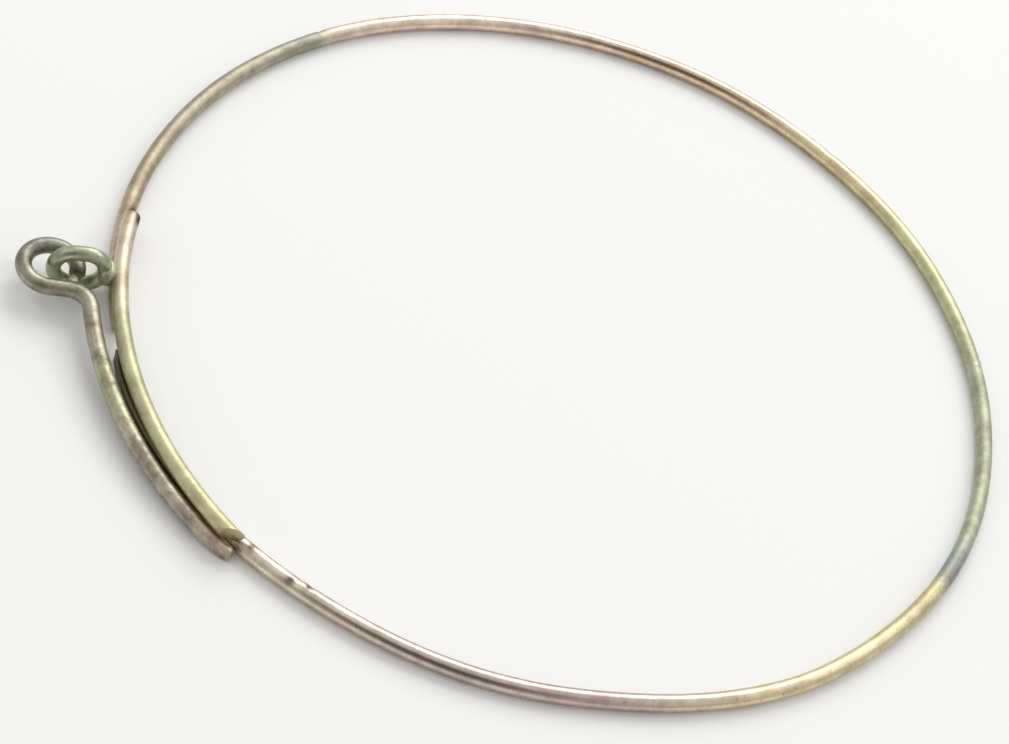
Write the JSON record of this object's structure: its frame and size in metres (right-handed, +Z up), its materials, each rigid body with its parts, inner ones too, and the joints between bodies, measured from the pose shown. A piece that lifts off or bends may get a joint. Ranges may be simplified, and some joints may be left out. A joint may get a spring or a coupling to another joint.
{
  "type": "bangle bracelet",
  "caption": "Plain round-wire bangle: an open hoop whose upper end carries an inner tongue and a hinge eye, closed by an outer wire latch chain-linked to that eye.",
  "frame": {"origin": "the hoop's centre, on the surface that the hoop lies on", "axes": "+Z up, square to the hoop; -X towards the linked eyes; the latch's tip is on -Y"},
  "size_m": [0.0742, 0.0674, 0.0041],
  "materials": {
    "hoop_silver": "satin, tarnished",
    "tongue_silver": "satin, tarnished yellow-green",
    "eye_silver": "satin, dark grey-green tarnish",
    "latch_silver": "satin, grey-brown tarnish",
    "solder": "rough, tarnished"
  },
  "bodies": {
    "bangle": {"hoop_wire": "hoop_silver", "inner_tongue": "tongue_silver", "hinge_eye": "eye_silver", "tongue_lap_solder": "solder", "tongue_top_solder": "solder", "hinge_eye_solder": "solder"},
    "latch": {"latch_arm": "latch_silver", "latch_eye_solder": "solder"}
  },
  "joints": [
    {"name": "latch_swing", "type": "hinge", "parent": "bangle", "child": "latch", "pos_m": [-0.03796, 0, 0.00201], "axis": [0, 0, -1], "range_deg": [0, 90]}
  ]
}
